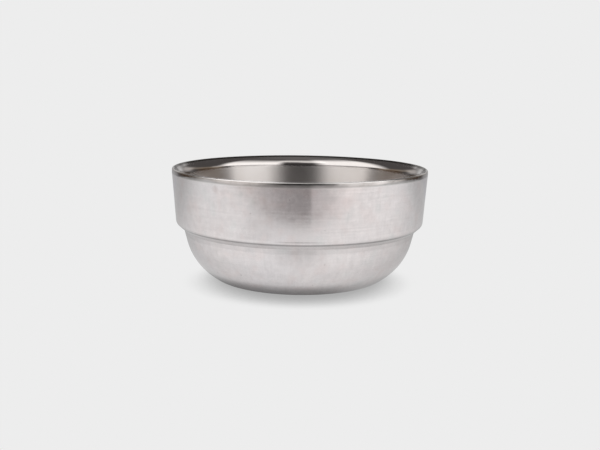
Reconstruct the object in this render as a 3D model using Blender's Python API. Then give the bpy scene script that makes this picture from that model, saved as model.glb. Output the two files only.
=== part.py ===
"""A double-walled steel bowl: a polished liner hung by its lip in a brushed casing, with air between them.

The ledge under the casing's shoulder has the slope of the lip, and the body below it passes the mouth, so
each bowl of a stack seats on the lip of the one beneath. A ring of weld joins the two pressings at the rim,
and a plug closes the vent in the base. Outlines are lists of complex numbers: radius + height j, in metres.
"""

import cmath
import math

import bmesh
import bpy

# Overall sizes
RIM_RADIUS = 0.0700
HEIGHT = 0.0608
SHEET = 0.0005

# Rim and lip
RIM_EDGE_RADIUS = 0.0008
LIP_WIDTH = 0.0047
LIP_SLOPE = math.radians(42)
MOUTH_FILLET = 0.0073

# Casing: wall, shoulder and ledge
WALL_TAPER = math.radians(4)
SHOULDER_DEPTH = 0.0294
SHOULDER_FILLET = 0.0025
LEDGE_FILLET = 0.0008
STACK_CLEARANCE = 0.0015

# Casing: lower body, foot ring and raised base panel
BELLY_INSET = 0.0044
BELLY_HEIGHT = 0.0097
BELLY_FILLET = 0.0313
FOOT_RADIUS = 0.0462
FOOT_FILLET = 0.0077
FOOT_WIDTH = 0.0070
PANEL_RISE = 0.0015
PANEL_FILLET = 0.0015

# Liner, set by the air space that it leaves to the casing
SIDE_GAP = 0.0055
FLOOR_GAP = 0.0030
FLOOR_FILLET = 0.0240

# Weld and vent plug
WELD_WALL_REACH = 0.0020
WELD_LIP_REACH = 0.0012
JOINT_GAP = 0.0003
VENT_RADIUS = 0.0030
PLUG_HEAD_RADIUS = 0.0048
PLUG_HEAD_THICKNESS = 0.0007
PLUG_HEAD_FILLET = 0.0003
PLUG_TAIL = 0.0006

# How finely round shapes are divided
SEGMENTS = 60
MOST_SAG = 0.00006
FEWEST_STEPS = 3
SHARP_ANGLE = math.radians(35)
SAME_PLACE = 1e-7

# The rim's round edge, which the wall and the lip leave as tangents
RIM_CENTRE = complex(RIM_RADIUS - RIM_EDGE_RADIUS, HEIGHT - RIM_EDGE_RADIUS)
WALL_OUTWARD = cmath.rect(1, -WALL_TAPER)
WALL_DOWN = WALL_OUTWARD * -1j
LIP_UPWARD = cmath.rect(1, math.pi / 2 + LIP_SLOPE)
LIP_DOWN = LIP_UPWARD * 1j
WALL_START = RIM_CENTRE + RIM_EDGE_RADIUS * WALL_OUTWARD
LIP_START = RIM_CENTRE + RIM_EDGE_RADIUS * LIP_UPWARD

# Places that the pieces share
MOUTH_RADIUS = RIM_RADIUS - LIP_WIDTH
LOWER_RADIUS = MOUTH_RADIUS - STACK_CLEARANCE
BELLY_RADIUS = LOWER_RADIUS - BELLY_INSET
LINER_FLOOR = PANEL_RISE + SHEET + FLOOR_GAP + SHEET


def at_height(start, direction, height):
    """The place at this height on a line."""
    return start + direction * (height - start.imag) / direction.imag


def at_radius(start, direction, radius):
    """The place at this radius on a line."""
    return start + direction * (radius - start.real) / direction.real


def arc(centre, start, turn):
    """Points from a start round a centre, so close that the chords sag by at most MOST_SAG."""
    radius = abs(start - centre)
    step = 2 * math.acos(1 - min(1, MOST_SAG / radius))
    steps = max(FEWEST_STEPS, math.ceil(abs(turn) / step))
    return [centre + (start - centre) * cmath.rect(1, turn * k / steps) for k in range(steps + 1)]


def rounded(corners):
    """An outline through (place, fillet radius) corners. A fillet shrinks where its sides are too short."""
    places = [place for place, _ in corners]
    sides = [b - a for a, b in zip(places, places[1:])]
    turns = [cmath.phase(b / a) for a, b in zip(sides, sides[1:])]
    reaches = [radius * math.tan(abs(turn) / 2) for (_, radius), turn in zip(corners[1:], turns)]
    ends = [0, *reaches, 0]
    room = [min(1, abs(side) / max(a + b, SAME_PLACE)) for side, a, b in zip(sides, ends, ends[1:])]
    outline = [places[0]]
    for i, (turn, reach) in enumerate(zip(turns, reaches)):
        along = sides[i] / abs(sides[i])
        reach *= min(room[i], room[i + 1])
        if reach < SAME_PLACE:
            outline.append(places[i + 1])
            continue
        start = places[i + 1] - along * reach
        centre = start + along * 1j * reach / math.tan(turn / 2)
        outline += arc(centre, start, turn)
    return outline + [places[-1]]


def parallel(outline, distance):
    """The outline moved to its left by a distance, with mitred corners."""
    along = [(b - a) / abs(b - a) for a, b in zip(outline, outline[1:])]
    moved = []
    for place, before, after in zip(outline, along[:1] + along, along + along[-1:]):
        middle = before + after
        moved.append(place + 1j * distance * 2 * middle / abs(middle) ** 2)
    return moved


def pressing(face, thickness):
    """The closed outline of a sheet, from its shown face. A thickness below 0 puts the metal on the right."""
    return face + parallel(face, thickness)[::-1]


def outer_shell_outline():
    wall_top = WALL_START + WALL_DOWN * (WELD_WALL_REACH + JOINT_GAP)
    shoulder = at_height(WALL_START, WALL_DOWN, HEIGHT - SHOULDER_DEPTH)
    ledge_end = at_radius(shoulder, LIP_DOWN, LOWER_RADIUS)
    foot_inside = FOOT_RADIUS - FOOT_WIDTH
    face = rounded(
        [
            (wall_top, 0),
            (shoulder, SHOULDER_FILLET),
            (ledge_end, LEDGE_FILLET),
            (complex(BELLY_RADIUS, BELLY_HEIGHT), BELLY_FILLET),
            (complex(FOOT_RADIUS, 0), FOOT_FILLET),
            (complex(foot_inside, 0), PANEL_FILLET),
            (complex(foot_inside - PANEL_RISE, PANEL_RISE), PANEL_FILLET),
            (complex(VENT_RADIUS, PANEL_RISE), 0),
        ]
    )
    return pressing(face, -SHEET)


def inner_bowl_outline():
    face = rounded(
        [
            (LIP_START + LIP_DOWN * (WELD_LIP_REACH + JOINT_GAP), 0),
            (at_radius(LIP_START, LIP_DOWN, MOUTH_RADIUS), MOUTH_FILLET),
            (complex(BELLY_RADIUS - SIDE_GAP, LINER_FLOOR), FLOOR_FILLET),
            (complex(0, LINER_FLOOR), 0),
        ]
    )
    return pressing(face, SHEET)


def rim_weld_outline():
    """The weld fills the wedge between the lip and the wall, as far as its reach down each of them."""
    wall_end = WALL_START + WALL_DOWN * WELD_WALL_REACH
    lip_end = LIP_START + LIP_DOWN * WELD_LIP_REACH
    over_the_rim = arc(RIM_CENTRE, WALL_START, cmath.phase(LIP_UPWARD / WALL_OUTWARD))
    underside = [lip_end - LIP_UPWARD * SHEET, wall_end - WALL_OUTWARD * SHEET]
    return [wall_end, *over_the_rim, lip_end, *underside]


def vent_plug_outline():
    seat = PANEL_RISE - JOINT_GAP
    face = seat - PLUG_HEAD_THICKNESS
    tail = PANEL_RISE + SHEET + PLUG_TAIL
    shank_radius = VENT_RADIUS - JOINT_GAP
    return rounded(
        [
            (complex(0, face), 0),
            (complex(PLUG_HEAD_RADIUS, face), PLUG_HEAD_FILLET),
            (complex(PLUG_HEAD_RADIUS, seat), 0),
            (complex(shank_radius, seat), 0),
            (complex(shank_radius, tail), 0),
            (complex(0, tail), 0),
        ]
    )


def steel(name, colour, roughness):
    material = bpy.data.materials.new(name)
    material.use_nodes = True
    shader = material.node_tree.nodes["Principled BSDF"]
    shader.inputs["Base Color"].default_value = (*colour, 1)
    shader.inputs["Metallic"].default_value = 1
    shader.inputs["Roughness"].default_value = roughness
    return material


def turned(name, outline, material, bowl):
    """A solid of revolution about Z. An edge that lies on the axis sweeps no face."""
    shape = bmesh.new()
    ring = [shape.verts.new((place.real, 0, place.imag)) for place in outline]
    pairs = zip(ring, ring[1:] + ring[:1])
    edges = [shape.edges.new((a, b)) for a, b in pairs if max(a.co.x, b.co.x) > SAME_PLACE]
    bmesh.ops.spin(
        shape,
        geom=ring + edges,
        axis=(0, 0, 1),
        angle=math.tau,
        steps=SEGMENTS,
        use_merge=True,
    )
    bmesh.ops.remove_doubles(shape, verts=shape.verts, dist=SAME_PLACE)
    bmesh.ops.recalc_face_normals(shape, faces=shape.faces)
    mesh = bpy.data.meshes.new(name)
    shape.to_mesh(mesh)
    shape.free()
    mesh.materials.append(material)
    mesh.shade_smooth()
    mesh.set_sharp_from_angle(angle=SHARP_ANGLE)
    piece = bpy.data.objects.new(name, mesh)
    piece.parent = bowl
    bpy.context.scene.collection.objects.link(piece)


def build():
    for leftover in list(bpy.data.objects):
        bpy.data.objects.remove(leftover)
    bowl = bpy.data.objects.new("bowl", None)
    bpy.context.scene.collection.objects.link(bowl)
    brushed = steel("brushed_steel", (0.62, 0.60, 0.59), 0.38)
    polished = steel("polished_steel", (0.60, 0.58, 0.55), 0.12)
    weld = steel("polished_weld", (0.58, 0.57, 0.56), 0.18)
    plain = steel("plain_steel", (0.52, 0.51, 0.50), 0.45)
    turned("outer_shell", outer_shell_outline(), brushed, bowl)
    turned("inner_bowl", inner_bowl_outline(), polished, bowl)
    turned("rim_weld", rim_weld_outline(), weld, bowl)
    turned("vent_plug", vent_plug_outline(), plain, bowl)


build()
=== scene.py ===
"""The looks of a double-walled steel bowl: brushed casing, satin liner and polished lip, on a pale floor.

Each CAD node is replaced by a finer turned mesh of about the same outline. Outlines are lists of complex
numbers: radius + height j, in metres.
"""

import cmath
import math
from collections import namedtuple

import bmesh
import bpy
from mathutils import Matrix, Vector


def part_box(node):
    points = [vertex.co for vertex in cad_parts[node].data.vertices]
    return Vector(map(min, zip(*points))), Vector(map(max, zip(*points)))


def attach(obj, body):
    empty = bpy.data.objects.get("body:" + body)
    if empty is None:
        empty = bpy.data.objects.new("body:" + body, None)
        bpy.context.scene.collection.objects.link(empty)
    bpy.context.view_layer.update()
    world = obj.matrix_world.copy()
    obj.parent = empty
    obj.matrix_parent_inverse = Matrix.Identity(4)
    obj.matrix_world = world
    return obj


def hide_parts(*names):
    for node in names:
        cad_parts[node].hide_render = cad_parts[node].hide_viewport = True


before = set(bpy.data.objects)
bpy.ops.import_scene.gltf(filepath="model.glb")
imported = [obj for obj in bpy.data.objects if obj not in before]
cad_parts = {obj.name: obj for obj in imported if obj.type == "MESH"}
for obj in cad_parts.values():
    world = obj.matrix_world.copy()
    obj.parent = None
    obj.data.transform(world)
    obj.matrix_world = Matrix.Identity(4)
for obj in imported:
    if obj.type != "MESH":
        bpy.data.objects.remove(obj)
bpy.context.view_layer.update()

# Overall sizes
RIM_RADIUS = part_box("rim_weld")[1].x
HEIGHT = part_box("rim_weld")[1].z
SHEET = 0.0005

# Rim and lip
RIM_EDGE_RADIUS = 0.0008
LIP_WIDTH = 0.0047
LIP_SLOPE = math.radians(42)
MOUTH_FILLET = 0.0073

# Casing: wall, shoulder and ledge
WALL_TAPER = math.radians(4)
SHOULDER_DEPTH = 0.0294
SHOULDER_FILLET = 0.0025
LEDGE_FILLET = 0.0008
STACK_CLEARANCE = 0.0015

# Casing: lower body, foot ring and raised base panel
BELLY_INSET = 0.0044
BELLY_HEIGHT = 0.0097
BELLY_FILLET = 0.0313
FOOT_RADIUS = 0.0462
FOOT_FILLET = 0.0077
FOOT_WIDTH = 0.0070
PANEL_RISE = 0.0015
PANEL_FILLET = 0.0015

# Liner, set by the air space that it leaves to the casing
SIDE_GAP = 0.0055
FLOOR_GAP = 0.0030
FLOOR_FILLET = 0.0240

# Weld: its face leans in above a bend, to a narrow worn land and a small crown
WELD_WALL_REACH = 0.0020
WELD_LIP_REACH = 0.0012
WELD_BEND = 0.0010
WELD_LEAN = math.radians(5)
WELD_ROUND = 0.0127
WELD_CROWN = 0.00068
LAND_DEPTH = 0.0005
LAND_LEAN = math.radians(24)
LAND_FILLET = 0.0003
LAND_BLUR = 0.00005
SEAM = 0.000002

# Vent and its plug
VENT_RADIUS = 0.0030
PLUG_CLEARANCE = 0.00005
PLUG_HEAD_RADIUS = 0.0048
PLUG_HEAD_THICKNESS = 0.0007
PLUG_HEAD_FILLET = 0.0003
PLUG_TAIL = 0.0006

# How finely the turned meshes are divided
SEGMENTS = 256
ARC_STEP = math.radians(3)
FEWEST_STEPS = 2
LONGEST_SIDE = 0.003
SHARP_ANGLE = math.radians(40)
SAME_PLACE = 1e-7

# The rim's round edge, which the wall and the lip leave as tangents
RIM_CENTRE = complex(RIM_RADIUS - RIM_EDGE_RADIUS, HEIGHT - RIM_EDGE_RADIUS)
WALL_OUTWARD = cmath.rect(1, -WALL_TAPER)
WALL_DOWN = WALL_OUTWARD * -1j
LIP_UPWARD = cmath.rect(1, math.pi / 2 + LIP_SLOPE)
LIP_DOWN = LIP_UPWARD * 1j
WALL_START = RIM_CENTRE + RIM_EDGE_RADIUS * WALL_OUTWARD
LIP_START = RIM_CENTRE + RIM_EDGE_RADIUS * LIP_UPWARD

# Places that the pieces share
MOUTH_RADIUS = RIM_RADIUS - LIP_WIDTH
LOWER_RADIUS = MOUTH_RADIUS - STACK_CLEARANCE
BELLY_RADIUS = LOWER_RADIUS - BELLY_INSET
LINER_FLOOR = PANEL_RISE + SHEET + FLOOR_GAP + SHEET

# Colours of the steels
CASING_GREY = (0.735, 0.705, 0.711)
CASING_WARM = (0.762, 0.719, 0.714)
CASING_ROSE = (0.74, 0.665, 0.655)
CASING_COOL = (0.71, 0.705, 0.70)
STAIN = (0.42, 0.30, 0.26)
SPECK = (0.22, 0.19, 0.18)
LINER_PALE = (0.63, 0.608, 0.598)
LINER_WARM = (0.60, 0.573, 0.557)
WELD_GREY = (0.46, 0.445, 0.44)
WELD_NICKED = (0.40, 0.385, 0.375)
# The weld's colour towards the wall, near the casing's grey
WELD_TOWARDS_WALL = (0.72, 0.70, 0.69)
# Painted highlight: the pale colour of the weld's top land, which brightens the line along the rim's top
WELD_LAND_HIGHLIGHT = (0.80, 0.79, 0.78)
WELD_TINTED = (0.17, 0.16, 0.15)
PLUG_PALE = (0.55, 0.54, 0.53)
PLUG_DULL = (0.46, 0.45, 0.44)

# Noise in the steels, the full core of a speck as a share of its radius, and the turn of brushed highlights
LINE_DETAIL = 2
LINE_ROUGHNESS = 0.55
PATCH_ROUGHNESS = 0.6
NOISE_MIDDLE = 0.5
SPECK_CORE = 0.3
QUARTER_TURN = 0.25

# The photograph's camera
CAMERA_DISTANCE = 0.4321
CAMERA_ELEVATION = math.radians(10.40)
AIM_HEIGHT = 0.0281
YAW = math.radians(-0.053)
ROLL = math.radians(0.712)
LENS = 46.30
SENSOR_WIDTH = 36
CLIP_START = 0.01

# Floor and background: their shade, the floor's edges, and the shadow that the camera sees
PALE = 0.847
FLOOR_SIDE = 1.2
FLOOR_FRONT = -0.192
FLOOR_BACK = 0.25
FLOOR_DROP = 0.0001
SHADOW_LEAN = math.radians(40)
SHADOW_REACH = 0.024
SHADOW_SAMPLES = 16
SHADOW_DARKEST = 0.42
SHADOW_ENDS = 0.65

# The floor that the steel mirrors: its light, and the share of it left where the bowl stands
MIRRORED = 1.10
CONTACT_REACH = 0.005
CONTACT_SHARE = 0.3
CONTACT_LEFT = (-0.032, -0.050)
CONTACT_SHARE_LEFT = 0.55
CONTACT_RIGHT = (0.008, 0.040)
CONTACT_SHARE_RIGHT = 0.85

# Fades of the mirrored floor, each from a start to an end where a share of the light is left. The round ones
# go by the distance from a centre.
Fade = namedtuple("Fade", "start end share")
FADE_BEHIND = Fade(-0.08, 0.17, 0.57)
FADE_AHEAD = Fade(-0.15, -0.20, 0.88)
FADE_LEFT = Fade(-0.06, -0.20, 0.945)
ROUND_FADES = (
    ((0, 0, 0), Fade(0.060, 0.045, 0.7)),
    ((0, 0.06, 0), Fade(0.15, 0.095, 0.75)),
    ((0, -0.115, 0), Fade(0.050, 0, 0.6)),
    ((0.12, 0.01, 0), Fade(0.115, 0.07, 0.93)),
    ((-0.087, -0.155, 0), Fade(0.065, 0.015, 0.89)),
)

# Studio: soft light panels on a dark dome, by azimuth (0 towards the camera, + to its right) and elevation,
# in degrees. A panel on both sides is mirrored left to right, and one with a light below 0 darkens.
STUDIO_RADIUS = 2.0
STUDIO_SEGMENTS = 48
DARK = (0.095, 0.088, 0.087)
ONE = "one side"
BOTH = "both sides"
LightPanel = namedtuple("LightPanel", "light sides span softness rise rise_softness")
LIGHT_PANELS = (
    LightPanel((-0.085, -0.079, -0.078), ONE, (-20, 24), (5, 4), (0, 24), (4, 4)),
    LightPanel((0.235, 0.225, 0.225), ONE, (-60, 60), (20, 20), (-45, 0), (5, 5)),
    LightPanel((0.24, 0.23, 0.23), ONE, (10.2, 95), (1.5, 8), (-45, 2), (5, 6)),
    LightPanel((0.47, 0.455, 0.445), ONE, (33, 95), (22, 8), (-45, 2), (5, 6)),
    LightPanel((1.53, 1.50, 1.47), ONE, (31.5, 78), (2, 5), (2, 17.5), (6, 3)),
    LightPanel((1.47, 1.44, 1.42), ONE, (22, 94), (6, 9), (21.5, 52), (2, 18)),
    LightPanel((0.625, 0.595, 0.575), ONE, (-95, -40), (8, 45), (-45, 2), (5, 6)),
    LightPanel((1.47, 1.40, 1.34), ONE, (-78, -29), (4, 10), (2, 17.5), (6, 3)),
    LightPanel((1.40, 1.37, 1.35), ONE, (-101, -23), (12, 10), (23, 66), (3, 14)),
    LightPanel((1.45, 1.42, 1.39), ONE, (-28, -2), (10, 6), (43.5, 57), (8, 18)),
    LightPanel((1.45, 1.42, 1.39), ONE, (-2, 24), (6, 8), (46, 57), (7, 18)),
    LightPanel((0.40, 0.39, 0.38), BOTH, (94, 106), (6, 6), (18, 25), (3, 3)),
    LightPanel((0.10, 0.10, 0.10), BOTH, (-5, 200), (5, 5), (75, 120), (15, 5)),
    LightPanel((0.0, -0.025, -0.045), BOTH, (90, 128), (6, 10), (-5, 20), (6, 6)),
    LightPanel((0.21, 0.18, 0.145), BOTH, (92, 148), (5, 8), (15, 21), (3, 4)),
    LightPanel((0.42, 0.44, 0.48), BOTH, (95, 200), (8, 5), (-45, -8), (5, 6)),
    LightPanel((0.36, 0.36, 0.36), BOTH, (164, 200), (6, 5), (-45, -6), (5, 4)),
    LightPanel((0.35, 0.35, 0.35), BOTH, (135, 166), (6, 6), (-8, 5), (6, 5)),
    LightPanel((0.55, 0.55, 0.55), BOTH, (166, 178), (6, 3), (-8, 18), (6, 8)),
    LightPanel((0.43, 0.41, 0.40), BOTH, (143, 164), (8, 5), (9, 21), (5, 4)),
    LightPanel((0.40, 0.39, 0.38), BOTH, (38, 100), (12, 8), (-7, 2), (4, 4)),
    LightPanel((0.45, 0.44, 0.43), ONE, (66, 100), (8, 6), (-6, 5), (4, 4)),
    LightPanel((1.20, 1.20, 1.20), BOTH, (150, 170), (5, 4), (48, 66), (5, 6)),
    LightPanel((1.90, 1.90, 1.90), ONE, (-174, -165), (4, 3), (24, 52), (5, 8)),
    LightPanel((1.90, 1.90, 1.90), ONE, (165, 172.5), (3, 3), (24, 52), (5, 8)),
    LightPanel((0.42, 0.42, 0.42), ONE, (-200, -174), (5, 4), (16, 60), (4, 8)),
    LightPanel((0.15, 0.15, 0.15), ONE, (174, 200), (4, 5), (16, 60), (4, 8)),
)


def at_height(start, direction, height):
    """The place at this height on a line."""
    return start + direction * (height - start.imag) / direction.imag


def at_radius(start, direction, radius):
    """The place at this radius on a line."""
    return start + direction * (radius - start.real) / direction.real


def meeting(start_a, direction_a, start_b, direction_b):
    """The place where two lines cross."""
    across = (direction_a.conjugate() * direction_b).imag
    return start_a + direction_a * ((start_b - start_a).conjugate() * direction_b).imag / across


def arc(centre, start, turn):
    """Points from a start round a centre, ARC_STEP apart at most."""
    steps = max(FEWEST_STEPS, math.ceil(abs(turn) / ARC_STEP))
    return [centre + (start - centre) * cmath.rect(1, turn * k / steps) for k in range(steps + 1)]


def rounded(corners):
    """An outline through (place, fillet radius) corners."""
    places = [place for place, _ in corners]
    sides = [b - a for a, b in zip(places, places[1:])]
    outline = [places[0]]
    for (place, radius), before, after in zip(corners[1:], sides, sides[1:]):
        if not radius:
            outline.append(place)
            continue
        turn = cmath.phase(after / before)
        along = before / abs(before)
        reach = radius * math.tan(abs(turn) / 2)
        start = place - along * reach
        outline += arc(start + along * 1j * reach / math.tan(turn / 2), start, turn)
    return outline + [places[-1]]


def divided(outline):
    """The outline with its long straight sides cut into short ones."""
    fine = [outline[0]]
    for a, b in zip(outline, outline[1:]):
        steps = max(1, math.ceil(abs(b - a) / LONGEST_SIDE))
        fine += [a + (b - a) * k / steps for k in range(1, steps + 1)]
    return fine


def parallel(outline, distance):
    """The outline moved to its left by a distance, with mitred corners."""
    along = [(b - a) / abs(b - a) for a, b in zip(outline, outline[1:])]
    moved = []
    for place, before, after in zip(outline, along[:1] + along, along + along[-1:]):
        middle = before + after
        moved.append(place + 1j * distance * 2 * middle / abs(middle) ** 2)
    return moved


def pressing(face, thickness):
    """The closed outline of a sheet, from its shown face. A thickness below 0 puts metal on the right."""
    face = divided(face)
    return face + parallel(face, thickness)[::-1]


def outer_shell_outline():
    shoulder = at_height(WALL_START, WALL_DOWN, HEIGHT - SHOULDER_DEPTH)
    foot_inside = FOOT_RADIUS - FOOT_WIDTH
    face = rounded(
        [
            (WALL_START + WALL_DOWN * (WELD_WALL_REACH + SEAM), 0),
            (shoulder, SHOULDER_FILLET),
            (at_radius(shoulder, LIP_DOWN, LOWER_RADIUS), LEDGE_FILLET),
            (complex(BELLY_RADIUS, BELLY_HEIGHT), BELLY_FILLET),
            (complex(FOOT_RADIUS, 0), FOOT_FILLET),
            (complex(foot_inside, 0), PANEL_FILLET),
            (complex(foot_inside - PANEL_RISE, PANEL_RISE), PANEL_FILLET),
            (complex(VENT_RADIUS, PANEL_RISE), 0),
        ]
    )
    return pressing(face, -SHEET)


def inner_bowl_outline():
    face = rounded(
        [
            (LIP_START + LIP_DOWN * (WELD_LIP_REACH + SEAM), 0),
            (at_radius(LIP_START, LIP_DOWN, MOUTH_RADIUS), MOUTH_FILLET),
            (complex(BELLY_RADIUS - SIDE_GAP, LINER_FLOOR), FLOOR_FILLET),
            (complex(0, LINER_FLOOR), 0),
        ]
    )
    return pressing(face, SHEET)


def rim_weld_outline():
    """The weld leans in as it rises from the wall, to a narrow worn land and a small crown at the lip."""
    wall_end = WALL_START + WALL_DOWN * WELD_WALL_REACH
    lip_end = LIP_START + LIP_DOWN * WELD_LIP_REACH
    bend = wall_end - WALL_DOWN * WELD_BEND
    land = at_height(bend, cmath.rect(1, math.pi / 2 + WELD_LEAN), HEIGHT - LAND_DEPTH)
    crown = meeting(land, cmath.rect(1, math.pi / 2 + LAND_LEAN), LIP_START, LIP_DOWN)
    corners = [(bend, WELD_ROUND), (land, LAND_FILLET), (crown, WELD_CROWN)]
    face = rounded([(wall_end, 0), *corners, (lip_end, 0)])
    underside = [lip_end - LIP_UPWARD * SHEET, wall_end - WALL_OUTWARD * SHEET]
    return divided(face + underside)


def vent_plug_outline():
    seat = PANEL_RISE - PLUG_CLEARANCE
    face = seat - PLUG_HEAD_THICKNESS
    tail = PANEL_RISE + SHEET + PLUG_TAIL
    shank_radius = VENT_RADIUS - PLUG_CLEARANCE
    return rounded(
        [
            (complex(0, face), 0),
            (complex(PLUG_HEAD_RADIUS, face), PLUG_HEAD_FILLET),
            (complex(PLUG_HEAD_RADIUS, seat), 0),
            (complex(shank_radius, seat), 0),
            (complex(shank_radius, tail), 0),
            (complex(0, tail), 0),
        ]
    )


def clockwise(outline):
    """The outline in the order that makes its turned faces point out."""
    area = sum((a.conjugate() * b).imag for a, b in zip(outline, outline[1:] + outline[:1]))
    return outline if area < 0 else outline[::-1]


def revolved(outline):
    """Points and faces of an outline turned about Z. An edge that lies on the axis sweeps no face."""
    points, rings = [], []
    for place in clockwise(outline):
        if place.real < SAME_PLACE:
            rings.append([len(points)] * SEGMENTS)
            points.append((0, 0, place.imag))
            continue
        rings.append([len(points) + k for k in range(SEGMENTS)])
        for k in range(SEGMENTS):
            turn = math.tau * k / SEGMENTS
            points.append((place.real * math.cos(turn), place.real * math.sin(turn), place.imag))
    faces = []
    for upper, lower in zip(rings, rings[1:] + rings[:1]):
        if upper[0] == upper[1] and lower[0] == lower[1]:
            continue
        for k in range(SEGMENTS):
            after = (k + 1) % SEGMENTS
            corners = [upper[k], lower[k], lower[after], upper[after]]
            faces.append(list(dict.fromkeys(corners)))
    return points, faces


def turned(node, outline, material):
    """A fine solid of revolution in place of a CAD node."""
    points, faces = revolved(outline)
    mesh = bpy.data.meshes.new(node + "_turned")
    mesh.from_pydata(points, [], faces)
    mesh.materials.append(material)
    mesh.shade_smooth()
    mesh.set_sharp_from_angle(angle=SHARP_ANGLE)
    piece = bpy.data.objects.new(node + "_turned", mesh)
    bpy.context.scene.collection.objects.link(piece)
    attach(piece, "root")
    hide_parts(node)


def add(tree, kind, *values, out=0, **settings):
    """A node with its first inputs linked or set, and the socket that it gives."""
    node = tree.nodes.new(kind)
    for key, value in settings.items():
        setattr(node, key, value)
    for socket, value in zip(node.inputs, values):
        if isinstance(value, bpy.types.NodeSocket):
            tree.links.new(value, socket)
        elif value is not None:
            socket.default_value = value
    return node.outputs[out]


def calculate(tree, operation, *values):
    return add(tree, "ShaderNodeMath", *values, operation=operation)


def vectors(tree, operation, *values, out="Vector"):
    return add(tree, "ShaderNodeVectorMath", *values, operation=operation, out=out)


def ramp(tree, value, start, end, first=0.0, last=1.0):
    """A smooth change from the first number to the last, as a value goes from start to end."""
    return add(
        tree, "ShaderNodeMapRange", value, start, end, first, last, interpolation_type="SMOOTHSTEP"
    )


def window(tree, value, span, softness):
    """1 where a value lies in a span and 0 outside it, with soft edges."""
    rise = ramp(tree, value, span[0] - softness[0], span[0] + softness[0])
    fall = ramp(tree, value, span[1] - softness[1], span[1] + softness[1], 1, 0)
    return calculate(tree, "MULTIPLY", rise, fall)


def blend(tree, share, colour_a, colour_b):
    """The first colour, with a share of the second mixed in."""
    node = tree.nodes.new("ShaderNodeMix")
    node.data_type = "RGBA"
    for name, value in (("Factor_Float", share), ("A_Color", colour_a), ("B_Color", colour_b)):
        socket = next(s for s in node.inputs if s.identifier == name)
        if isinstance(value, bpy.types.NodeSocket):
            tree.links.new(value, socket)
        else:
            socket.default_value = (*value, 1)
    return next(s for s in node.outputs if s.identifier == "Result_Color")


class Steel:
    """A steel's node tree, with places on the bowl as coordinates: round it, and along its outline.

    The roughness given here stands in for the roughness nodes where a program can't read them.
    """

    def __init__(self, name, roughness, anisotropy=0.0):
        self.material = bpy.data.materials.new(name)
        self.material.use_nodes = True
        self.tree = self.material.node_tree
        self.shader = self.tree.nodes["Principled BSDF"]
        self.shader.inputs["Metallic"].default_value = 1
        self.shader.inputs["Roughness"].default_value = roughness
        if anisotropy:
            self.shader.inputs["Anisotropic"].default_value = anisotropy
            self.shader.inputs["Anisotropic Rotation"].default_value = QUARTER_TURN
            self.link("Tangent", add(self.tree, "ShaderNodeTangent", direction_type="RADIAL", axis="Z"))
        self.place = add(self.tree, "ShaderNodeTexCoord", out="Object")
        level = vectors(self.tree, "MULTIPLY", self.place, (1, 1, 0))
        height = add(self.tree, "ShaderNodeSeparateXYZ", self.place, out="Z")
        self.depth = calculate(self.tree, "SUBTRACT", HEIGHT, height)
        self.radius = vectors(self.tree, "LENGTH", level, out="Value")
        self.bearing = vectors(self.tree, "NORMALIZE", level)
        self.along = calculate(self.tree, "ADD", height, self.radius)

    def link(self, name, socket):
        self.tree.links.new(socket, self.shader.inputs[name])

    def lines(self, spacing, turns):
        """Noise drawn out into lines that run round the bowl."""
        across = calculate(self.tree, "MULTIPLY", self.along, 1 / spacing)
        lift = add(self.tree, "ShaderNodeCombineXYZ", 0, 0, across)
        vector = vectors(self.tree, "MULTIPLY_ADD", self.bearing, (turns, turns, 0), lift)
        return add(self.tree, "ShaderNodeTexNoise", vector, None, 1, LINE_DETAIL, LINE_ROUGHNESS)

    def patches(self, size, detail=3):
        return add(self.tree, "ShaderNodeTexNoise", self.place, None, 1 / size, detail, PATCH_ROUGHNESS)

    def specks(self, spacing, radius, share):
        """Dots of about one radius, in a share of the cells of a random grid."""
        cells = add(self.tree, "ShaderNodeTexVoronoi", self.place, None, 1 / spacing)
        chance = add(self.tree, "ShaderNodeSeparateColor", cells.node.outputs["Color"])
        chosen = calculate(self.tree, "LESS_THAN", chance, share)
        dot = ramp(self.tree, cells, radius / spacing, SPECK_CORE * radius / spacing)
        return calculate(self.tree, "MULTIPLY", dot, chosen)

    def bump(self, *layers):
        """Bumps stacked from (height socket, depth in metres) layers."""
        normal = None
        for height, depth in layers:
            node = self.tree.nodes.new("ShaderNodeBump")
            node.inputs["Strength"].default_value = 1
            node.inputs["Distance"].default_value = depth
            self.tree.links.new(height, node.inputs["Height"])
            if normal:
                self.tree.links.new(normal, node.inputs["Normal"])
            normal = node.outputs["Normal"]
        self.link("Normal", normal)


def casing_colour(steel, clouds):
    """Cloudy grey steel with faint rose and cool tints, brown stains and small dark specks."""
    tree = steel.tree
    tints = steel.patches(size=0.008, detail=1)
    stains = steel.specks(spacing=0.021, radius=0.0028, share=0.3)
    specks = steel.specks(spacing=0.006, radius=0.0005, share=0.3)
    colour = blend(tree, ramp(tree, clouds, 0.35, 0.65), CASING_GREY, CASING_WARM)
    colour = blend(tree, ramp(tree, tints, 0.5, 0.7, 0, 0.45), colour, CASING_ROSE)
    colour = blend(tree, ramp(tree, tints, 0.45, 0.25, 0, 0.5), colour, CASING_COOL)
    for marks, strength, mark_colour in ((stains, 0.22, STAIN), (specks, 0.5, SPECK)):
        colour = blend(tree, calculate(tree, "MULTIPLY", marks, strength), colour, mark_colour)
    return colour


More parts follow.
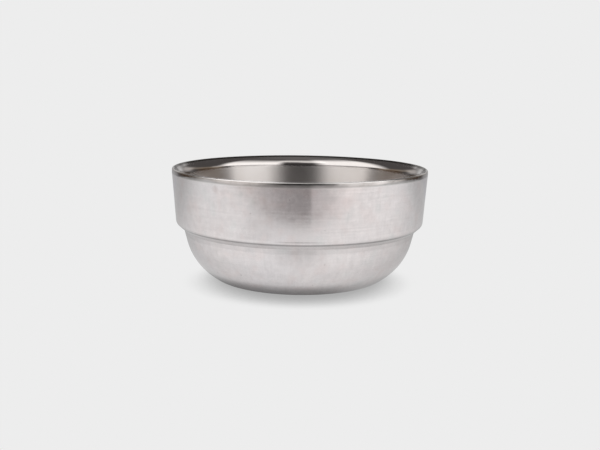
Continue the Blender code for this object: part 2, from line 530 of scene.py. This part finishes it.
def brushed_steel():
    """The casing: satin steel brushed round the bowl, marked by use, with painted shade at the shoulder's
    crease, on the step below it and in a band under that.
    """
    steel = Steel("brushed_steel", roughness=0.16, anisotropy=0.7)
    tree = steel.tree
    fine = steel.lines(spacing=0.0006, turns=6)
    broad = steel.lines(spacing=0.0011, turns=2)
    strokes = steel.lines(spacing=0.010, turns=70)
    clouds = steel.patches(size=0.05)
    mottle = steel.patches(size=0.0035)
    below = calculate(tree, "SUBTRACT", steel.depth, SHOULDER_DEPTH)
    # Painted shade: masks for a dark line at the shoulder's crease, the step below it and a band under that,
    # where the steel mirrors shadowed floor
    crease_shade = window(tree, below, span=(0.0007, 0.0017), softness=(0.0003, 0.0003))
    ledge_shade = window(tree, below, span=(0.0007, 0.0037), softness=(0.0003, 0.0003))
    under_shade = window(tree, below, span=(0.0035, 0.0063), softness=(0.0004, 0.0006))
    stroke_share = ramp(tree, below, 0.003, 0.006, 0.08, 0.09)
    cloud_share = ramp(tree, clouds, 0.42, 0.6, 0.06, 0.16)
    line_share = calculate(tree, "MULTIPLY", cloud_share, ramp(tree, below, 0.006, 0, 0.5, 1))
    shade = 1
    for layer, share in ((broad, line_share), (strokes, stroke_share), (fine, 0.06), (mottle, 0.24)):
        centred = calculate(tree, "SUBTRACT", layer, NOISE_MIDDLE)
        shade = calculate(tree, "MULTIPLY_ADD", centred, share, shade)
    # Painted shade: each masked zone loses this share of its colour
    for painted_shade_zone, shade_loss in ((crease_shade, 0.36), (ledge_shade, 0.10), (under_shade, 0.10)):
        shade = calculate(tree, "MULTIPLY_ADD", painted_shade_zone, -shade_loss, shade)
    steel.link("Base Color", vectors(tree, "SCALE", casing_colour(steel, clouds), None, None, shade))
    worn = ramp(tree, mottle, 0.3, 0.75, 0.08, 0.12)
    steel.link("Roughness", calculate(tree, "MULTIPLY_ADD", broad, 0.05, worn))
    steel.bump((broad, 0.000004), (fine, 0.0000015))
    return steel.material


def polished_steel():
    """The liner: a polished lip, duller at the weld, and a satin wall and floor with faint lines."""
    steel = Steel("polished_steel", roughness=0.28, anisotropy=0.4)
    tree = steel.tree
    fine = steel.lines(spacing=0.0005, turns=4)
    haze = steel.patches(size=0.02)
    steel.link("Base Color", blend(tree, ramp(tree, haze, 0.35, 0.7), LINER_PALE, LINER_WARM))
    satin = ramp(tree, haze, 0.3, 0.75, 0.275, 0.285)
    lip_gain = ramp(tree, steel.depth, 0.0067, 0.0052, 0, -0.185)
    edge_loss = ramp(tree, steel.depth, 0.0033, 0.0012, 0, 0.05)
    polish = calculate(tree, "ADD", lip_gain, edge_loss)
    steel.link("Roughness", calculate(tree, "ADD", satin, polish))
    steel.bump((fine, 0.000004))
    return steel.material


def polished_weld():
    """The rim: weld metal, darker towards the rim and paler towards the wall, with a few nicks, a pale top
    land that is a painted highlight, and a dark tint.
    """
    steel = Steel("polished_weld", roughness=0.12)
    tree = steel.tree
    nicks = steel.patches(size=0.004)
    # Darker towards the rim, growing paler like the casing where the weld meets the wall
    towards_wall = ramp(tree, steel.depth, 0.0020, 0.0029)
    # Painted highlight: the top land is coloured pale so that the line along the rim's top shines brighter
    worn = ramp(tree, steel.depth, LAND_DEPTH + LAND_BLUR, LAND_DEPTH - LAND_BLUR)
    inset = calculate(tree, "SUBTRACT", RIM_RADIUS, steel.radius)
    tinted = window(tree, inset, span=(0.0009, 0.0021), softness=(0.0002, 0.0003))
    colour = blend(tree, ramp(tree, nicks, 0.4, 0.7), WELD_GREY, WELD_NICKED)
    colour = blend(tree, towards_wall, colour, WELD_TOWARDS_WALL)
    colour = blend(tree, worn, colour, WELD_LAND_HIGHLIGHT)
    colour = blend(tree, tinted, colour, WELD_TINTED)
    steel.link("Base Color", colour)
    steel.link("Roughness", ramp(tree, nicks, 0.3, 0.75, 0.10, 0.22))
    steel.bump((nicks, 0.00003))
    return steel.material


def plain_steel():
    """The vent plug: satin steel, turned."""
    steel = Steel("plain_steel", roughness=0.4)
    tree = steel.tree
    rings = steel.lines(spacing=0.0003, turns=1)
    haze = steel.patches(size=0.003)
    steel.link("Base Color", blend(tree, haze, PLUG_PALE, PLUG_DULL))
    steel.link("Roughness", ramp(tree, haze, 0.3, 0.7, 0.36, 0.48))
    steel.bump((rings, 0.00001))
    return steel.material


def make_camera():
    camera = bpy.data.objects.new("camera", bpy.data.cameras.new("camera"))
    camera.data.lens = LENS
    camera.data.sensor_width = SENSOR_WIDTH
    camera.data.clip_start = CLIP_START
    back = CAMERA_DISTANCE * math.cos(CAMERA_ELEVATION)
    up = CAMERA_DISTANCE * math.sin(CAMERA_ELEVATION)
    camera.matrix_world = (
        Matrix.Translation((0, -back, AIM_HEIGHT + up))
        @ Matrix.Rotation(YAW, 4, "Z")
        @ Matrix.Rotation(math.pi / 2 - CAMERA_ELEVATION, 4, "X")
        @ Matrix.Rotation(ROLL, 4, "Z")
    )
    bpy.context.scene.collection.objects.link(camera)
    bpy.context.scene.camera = camera


def empty_material(name):
    material = bpy.data.materials.new(name)
    material.use_nodes = True
    material.node_tree.nodes.clear()
    return material


def placed(name, mesh, material, shader):
    """An object whose material shows this shader."""
    output = material.node_tree.nodes.new("ShaderNodeOutputMaterial")
    material.node_tree.links.new(shader, output.inputs["Surface"])
    mesh.materials.append(material)
    shown = bpy.data.objects.new(name, mesh)
    bpy.context.scene.collection.objects.link(shown)
    return shown


def open_share(tree, reach, *lean):
    """How open the floor is to the light: 1 where nothing stands within reach."""
    return add(tree, "ShaderNodeAmbientOcclusion", None, reach, *lean, out="AO", samples=SHADOW_SAMPLES)


def mirrored_floor(tree):
    """How bright the steel sees the floor: dim where the bowl stands, and faded further out."""
    place = add(tree, "ShaderNodeTexCoord", out="Object")
    across, depth, _ = add(tree, "ShaderNodeSeparateXYZ", place).node.outputs
    dim = MIRRORED * CONTACT_SHARE
    right = ramp(tree, across, *CONTACT_RIGHT, dim, MIRRORED * CONTACT_SHARE_RIGHT)
    left = ramp(tree, across, *CONTACT_LEFT, 0, MIRRORED * CONTACT_SHARE_LEFT - dim)
    contact = calculate(tree, "ADD", right, left)
    light = add(tree, "ShaderNodeMapRange", open_share(tree, CONTACT_REACH), 0, 1, contact, MIRRORED)
    fades = [(depth, FADE_BEHIND), (depth, FADE_AHEAD), (across, FADE_LEFT)]
    for centre, fade in ROUND_FADES:
        fades.append((vectors(tree, "DISTANCE", place, centre, out="Value"), fade))
    for value, fade in fades:
        kept = ramp(tree, value, fade.start, fade.end, 1, fade.share)
        light = calculate(tree, "MULTIPLY", light, kept)
    return light


def make_floor():
    """A pale sheet with a soft shadow. It ends in front of the bowl, and from below it is clear."""
    mesh = bpy.data.meshes.new("floor")
    side, front, back = FLOOR_SIDE, FLOOR_FRONT, FLOOR_BACK
    corners = [(-side, front, 0), (side, front, 0), (side, back, 0), (-side, back, 0)]
    mesh.from_pydata(corners, [], [range(4)])
    material = empty_material("floor")
    tree = material.node_tree
    lean = add(tree, "ShaderNodeCombineXYZ", 0, math.sin(SHADOW_LEAN), math.cos(SHADOW_LEAN))
    shadow = ramp(tree, open_share(tree, SHADOW_REACH, lean), 0, SHADOW_ENDS, SHADOW_DARKEST, 1)
    seen = add(tree, "ShaderNodeLightPath", out="Is Camera Ray")
    strength = add(tree, "ShaderNodeMapRange", seen, 0, 1, mirrored_floor(tree), shadow)
    glow = add(tree, "ShaderNodeEmission", (PALE, PALE, PALE, 1), strength)
    below = add(tree, "ShaderNodeNewGeometry", out="Backfacing")
    clear = add(tree, "ShaderNodeBsdfTransparent")
    shown = add(tree, "ShaderNodeMixShader", below, glow, clear)
    floor = placed("floor", mesh, material, shown)
    floor.location.z = -FLOOR_DROP


def make_studio():
    """The room that the steel mirrors: light panels on a dark dome that the camera doesn't see."""
    mesh = bpy.data.meshes.new("studio")
    shape = bmesh.new()
    bmesh.ops.create_uvsphere(
        shape, u_segments=STUDIO_SEGMENTS, v_segments=STUDIO_SEGMENTS // 2, radius=STUDIO_RADIUS
    )
    shape.to_mesh(mesh)
    shape.free()
    material = empty_material("studio")
    tree = material.node_tree
    place = vectors(tree, "NORMALIZE", add(tree, "ShaderNodeTexCoord", out="Object"))
    x, y, z = add(tree, "ShaderNodeSeparateXYZ", place).node.outputs
    ahead = calculate(tree, "MULTIPLY", y, -1)
    azimuth = calculate(tree, "DEGREES", calculate(tree, "ARCTAN2", x, ahead))
    elevation = calculate(tree, "DEGREES", calculate(tree, "ARCSINE", z))
    either_way = calculate(tree, "ABSOLUTE", azimuth)
    light = add(tree, "ShaderNodeCombineXYZ", *DARK)
    for panel in LIGHT_PANELS:
        turn = either_way if panel.sides == BOTH else azimuth
        across = window(tree, turn, panel.span, panel.softness)
        upright = window(tree, elevation, panel.rise, panel.rise_softness)
        share = calculate(tree, "MULTIPLY", across, upright)
        light = vectors(tree, "MULTIPLY_ADD", panel.light, share, light)
    studio = placed("studio", mesh, material, add(tree, "ShaderNodeEmission", light, 1))
    studio.visible_camera = False


def make_world():
    world = bpy.data.worlds.new("background")
    world.use_nodes = True
    background = world.node_tree.nodes["Background"]
    background.inputs["Color"].default_value = (PALE, PALE, PALE, 1)
    bpy.context.scene.world = world


turned("outer_shell", outer_shell_outline(), brushed_steel())
turned("inner_bowl", inner_bowl_outline(), polished_steel())
turned("rim_weld", rim_weld_outline(), polished_weld())
turned("vent_plug", vent_plug_outline(), plain_steel())
make_camera()
make_floor()
make_studio()
make_world()
bpy.context.scene.view_settings.view_transform = "Standard"
